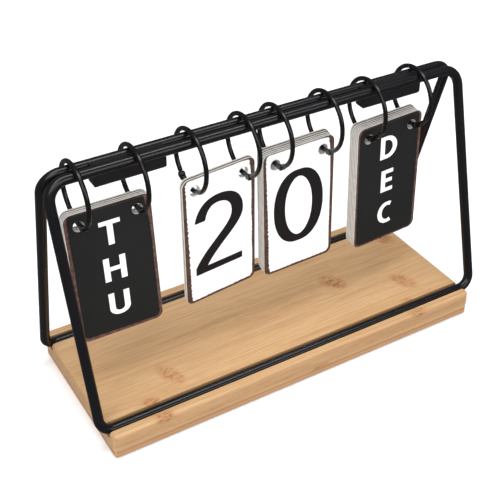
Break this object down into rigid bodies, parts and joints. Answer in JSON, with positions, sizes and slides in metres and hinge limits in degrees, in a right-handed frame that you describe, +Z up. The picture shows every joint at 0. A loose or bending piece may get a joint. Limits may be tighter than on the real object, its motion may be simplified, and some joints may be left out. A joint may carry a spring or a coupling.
{
  "type": "flip desk calendar",
  "caption": "Perpetual desk calendar: a bamboo board and two black wire frames leaning together, with day, date and month cards hanging on book rings from the top bars.",
  "frame": {"origin": "centre of the bamboo board's underside, on the table", "axes": "+X towards the right of someone reading the cards, along the top bars; +Y to the rear; +Z up"},
  "size_m": [0.2992, 0.1156, 0.1787],
  "materials": {
    "bamboo": "oiled laminated bamboo with fine lengthwise grain and darker node marks",
    "powder_coat": "black satin powder coat on round steel wire",
    "clip_plastic": "black moulded plastic, fine matt texture",
    "ring_enamel": "black glossy enamel on steel wire",
    "rivet_steel": "black enamelled rivet, worn towards bare steel on the heads",
    "card_black": "matt black print on thick grey board, rusty worn border",
    "card_white": "matt white print on thick grey board, rusty worn border"
  },
  "bodies": {
    "stand": {"base_board": "bamboo", "front_frame": "powder_coat", "rear_frame": "powder_coat", "clip_left": "clip_plastic", "clip_right": "clip_plastic"},
    "day_ring_left": {"day_ring_left_carrier": "ring_enamel", "day_ring_left_rivet": "rivet_steel"},
    "day_ring_left_gate": {"day_ring_left_gate": "ring_enamel"},
    "day_ring_right": {"day_ring_right_carrier": "ring_enamel", "day_ring_right_rivet": "rivet_steel"},
    "day_ring_right_gate": {"day_ring_right_gate": "ring_enamel"},
    "day_card_1": {"day_card_1": "card_black"},
    "day_card_2": {"day_card_2": "card_black"},
    "day_card_3": {"day_card_3": "card_black"},
    "day_card_4": {"day_card_4": "card_black"},
    "tens_ring_left": {"tens_ring_left_carrier": "ring_enamel", "tens_ring_left_rivet": "rivet_steel"},
    "tens_ring_left_gate": {"tens_ring_left_gate": "ring_enamel"},
    "tens_ring_right": {"tens_ring_right_carrier": "ring_enamel", "tens_ring_right_rivet": "rivet_steel"},
    "tens_ring_right_gate": {"tens_ring_right_gate": "ring_enamel"},
    "tens_card_1": {"tens_card_1": "card_white"},
    "tens_card_2": {"tens_card_2": "card_white"},
    "units_ring_left": {"units_ring_left_carrier": "ring_enamel", "units_ring_left_rivet": "rivet_steel"},
    "units_ring_left_gate": {"units_ring_left_gate": "ring_enamel"},
    "units_ring_right": {"units_ring_right_carrier": "ring_enamel", "units_ring_right_rivet": "rivet_steel"},
    "units_ring_right_gate": {"units_ring_right_gate": "ring_enamel"},
    "units_card_1": {"units_card_1": "card_white"},
    "units_card_2": {"units_card_2": "card_white"},
    "units_card_3": {"units_card_3": "card_white"},
    "units_card_4": {"units_card_4": "card_white"},
    "units_card_5": {"units_card_5": "card_white"},
    "month_ring_left": {"month_ring_left_carrier": "ring_enamel", "month_ring_left_rivet": "rivet_steel"},
    "month_ring_left_gate": {"month_ring_left_gate": "ring_enamel"},
    "month_ring_right": {"month_ring_right_carrier": "ring_enamel", "month_ring_right_rivet": "rivet_steel"},
    "month_ring_right_gate": {"month_ring_right_gate": "ring_enamel"},
    "month_card_1": {"month_card_1": "card_black"},
    "month_card_2": {"month_card_2": "card_black"},
    "month_card_3": {"month_card_3": "card_black"},
    "month_card_4": {"month_card_4": "card_black"},
    "month_card_5": {"month_card_5": "card_black"},
    "month_card_6": {"month_card_6": "card_black"}
  },
  "joints": [
    {"name": "day_ring_right_turn", "type": "hinge", "parent": "stand", "child": "day_ring_right", "pos_m": [-0.1073, 0, 0.15715], "axis": [1, 0, 0], "range_deg": [-20, 20]},
    {"name": "day_ring_left_turn", "type": "hinge", "parent": "stand", "child": "day_ring_left", "pos_m": [-0.1073, 0, 0.15715], "axis": [1, 0, 0], "range_deg": [-20, 20]},
    {"name": "day_ring_left_open", "type": "hinge", "parent": "day_ring_left", "child": "day_ring_left_gate", "pos_m": [-0.12578, -0.00834, 0.13842], "axis": [-1, 0, 0], "range_deg": [-60, 0]},
    {"name": "day_ring_right_open", "type": "hinge", "parent": "day_ring_right", "child": "day_ring_right_gate", "pos_m": [-0.08882, -0.00834, 0.13842], "axis": [-1, 0, 0], "range_deg": [-60, 0]},
    {"name": "day_card_2_flip", "type": "hinge", "parent": "day_ring_right", "child": "day_card_2", "pos_m": [-0.1073, 0, 0.15715], "axis": [-1, 0, 0], "range_deg": [0, 30]},
    {"name": "day_card_1_flip", "type": "hinge", "parent": "day_card_2", "child": "day_card_1", "pos_m": [-0.1073, 0, 0.15715], "axis": [-1, 0, 0], "range_deg": [0, 75]},
    {"name": "day_card_3_flip", "type": "hinge", "parent": "day_ring_right", "child": "day_card_3", "pos_m": [-0.1073, 0, 0.15715], "axis": [1, 0, 0], "range_deg": [0, 25]},
    {"name": "day_card_4_flip", "type": "hinge", "parent": "day_card_3", "child": "day_card_4", "pos_m": [-0.1073, 0, 0.15715], "axis": [1, 0, 0], "range_deg": [0, 60]},
    {"name": "tens_ring_right_turn", "type": "hinge", "parent": "stand", "child": "tens_ring_right", "pos_m": [-0.0331, 0, 0.15715], "axis": [1, 0, 0], "range_deg": [-20, 20]},
    {"name": "tens_ring_left_turn", "type": "hinge", "parent": "stand", "child": "tens_ring_left", "pos_m": [-0.0331, 0, 0.15715], "axis": [1, 0, 0], "range_deg": [-20, 20]},
    {"name": "tens_ring_left_open", "type": "hinge", "parent": "tens_ring_left", "child": "tens_ring_left_gate", "pos_m": [-0.05149, 0.01262, 0.141], "axis": [1, 0, 0], "range_deg": [-60, 0]},
    {"name": "tens_ring_right_open", "type": "hinge", "parent": "tens_ring_right", "child": "tens_ring_right_gate", "pos_m": [-0.01471, -0.00834, 0.13842], "axis": [-1, 0, 0], "range_deg": [-60, 0]},
    {"name": "tens_card_1_flip", "type": "hinge", "parent": "tens_ring_right", "child": "tens_card_1", "pos_m": [-0.0331, 0, 0.15715], "axis": [-1, 0, 0], "range_deg": [0, 105]},
    {"name": "tens_card_2_flip", "type": "hinge", "parent": "tens_ring_right", "child": "tens_card_2", "pos_m": [-0.0331, 0, 0.15715], "axis": [1, 0, 0], "range_deg": [0, 85]},
    {"name": "units_ring_right_turn", "type": "hinge", "parent": "stand", "child": "units_ring_right", "pos_m": [0.027, 0, 0.15715], "axis": [1, 0, 0], "range_deg": [-20, 20]},
    {"name": "units_ring_left_turn", "type": "hinge", "parent": "stand", "child": "units_ring_left", "pos_m": [0.027, 0, 0.15715], "axis": [1, 0, 0], "range_deg": [-20, 20]},
    {"name": "units_ring_left_open", "type": "hinge", "parent": "units_ring_left", "child": "units_ring_left_gate", "pos_m": [0.0085, -0.00834, 0.13842], "axis": [-1, 0, 0], "range_deg": [-60, 0]},
    {"name": "units_ring_right_open", "type": "hinge", "parent": "units_ring_right", "child": "units_ring_right_gate", "pos_m": [0.0455, -0.00834, 0.13842], "axis": [-1, 0, 0], "range_deg": [-60, 0]},
    {"name": "units_card_3_flip", "type": "hinge", "parent": "units_ring_right", "child": "units_card_3", "pos_m": [0.027, 0, 0.15715], "axis": [-1, 0, 0], "range_deg": [0, 15]},
    {"name": "units_card_2_flip", "type": "hinge", "parent": "units_card_3", "child": "units_card_2", "pos_m": [0.027, 0, 0.15715], "axis": [-1, 0, 0], "range_deg": [0, 20]},
    {"name": "units_card_1_flip", "type": "hinge", "parent": "units_card_2", "child": "units_card_1", "pos_m": [0.027, 0, 0.15715], "axis": [-1, 0, 0], "range_deg": [0, 70]},
    {"name": "units_card_4_flip", "type": "hinge", "parent": "units_ring_right", "child": "units_card_4", "pos_m": [0.027, 0, 0.15715], "axis": [1, 0, 0], "range_deg": [0, 25]},
    {"name": "units_card_5_flip", "type": "hinge", "parent": "units_card_4", "child": "units_card_5", "pos_m": [0.027, 0, 0.15715], "axis": [1, 0, 0], "range_deg": [0, 60]},
    {"name": "month_ring_right_turn", "type": "hinge", "parent": "stand", "child": "month_ring_right", "pos_m": [0.0976, 0, 0.15715], "axis": [1, 0, 0], "range_deg": [-20, 20]},
    {"name": "month_ring_left_turn", "type": "hinge", "parent": "stand", "child": "month_ring_left", "pos_m": [0.0976, 0, 0.15715], "axis": [1, 0, 0], "range_deg": [-20, 20]},
    {"name": "month_ring_left_open", "type": "hinge", "parent": "month_ring_left", "child": "month_ring_left_gate", "pos_m": [0.07912, -0.00834, 0.13842], "axis": [-1, 0, 0], "range_deg": [-60, 0]},
    {"name": "month_ring_right_open", "type": "hinge", "parent": "month_ring_right", "child": "month_ring_right_gate", "pos_m": [0.11608, -0.00834, 0.13842], "axis": [-1, 0, 0], "range_deg": [-60, 0]},
    {"name": "month_card_3_flip", "type": "hinge", "parent": "month_ring_right", "child": "month_card_3", "pos_m": [0.0976, 0, 0.15715], "axis": [-1, 0, 0], "range_deg": [0, 15]},
    {"name": "month_card_2_flip", "type": "hinge", "parent": "month_card_3", "child": "month_card_2", "pos_m": [0.0976, 0, 0.15715], "axis": [-1, 0, 0], "range_deg": [0, 20]},
    {"name": "month_card_1_flip", "type": "hinge", "parent": "month_card_2", "child": "month_card_1", "pos_m": [0.0976, 0, 0.15715], "axis": [-1, 0, 0], "range_deg": [0, 70]},
    {"name": "month_card_4_flip", "type": "hinge", "parent": "month_ring_right", "child": "month_card_4", "pos_m": [0.0976, 0, 0.15715], "axis": [1, 0, 0], "range_deg": [0, 12]},
    {"name": "month_card_5_flip", "type": "hinge", "parent": "month_card_4", "child": "month_card_5", "pos_m": [0.0976, 0, 0.15715], "axis": [1, 0, 0], "range_deg": [0, 18]},
    {"name": "month_card_6_flip", "type": "hinge", "parent": "month_card_5", "child": "month_card_6", "pos_m": [0.0976, 0, 0.15715], "axis": [1, 0, 0], "range_deg": [0, 55]}
  ],
  "couplings": [
    {"joint": "day_ring_left_turn", "follows": "day_ring_right_turn", "ratio": 1},
    {"joint": "tens_ring_left_turn", "follows": "tens_ring_right_turn", "ratio": 1},
    {"joint": "units_ring_left_turn", "follows": "units_ring_right_turn", "ratio": 1},
    {"joint": "month_ring_left_turn", "follows": "month_ring_right_turn", "ratio": 1}
  ]
}
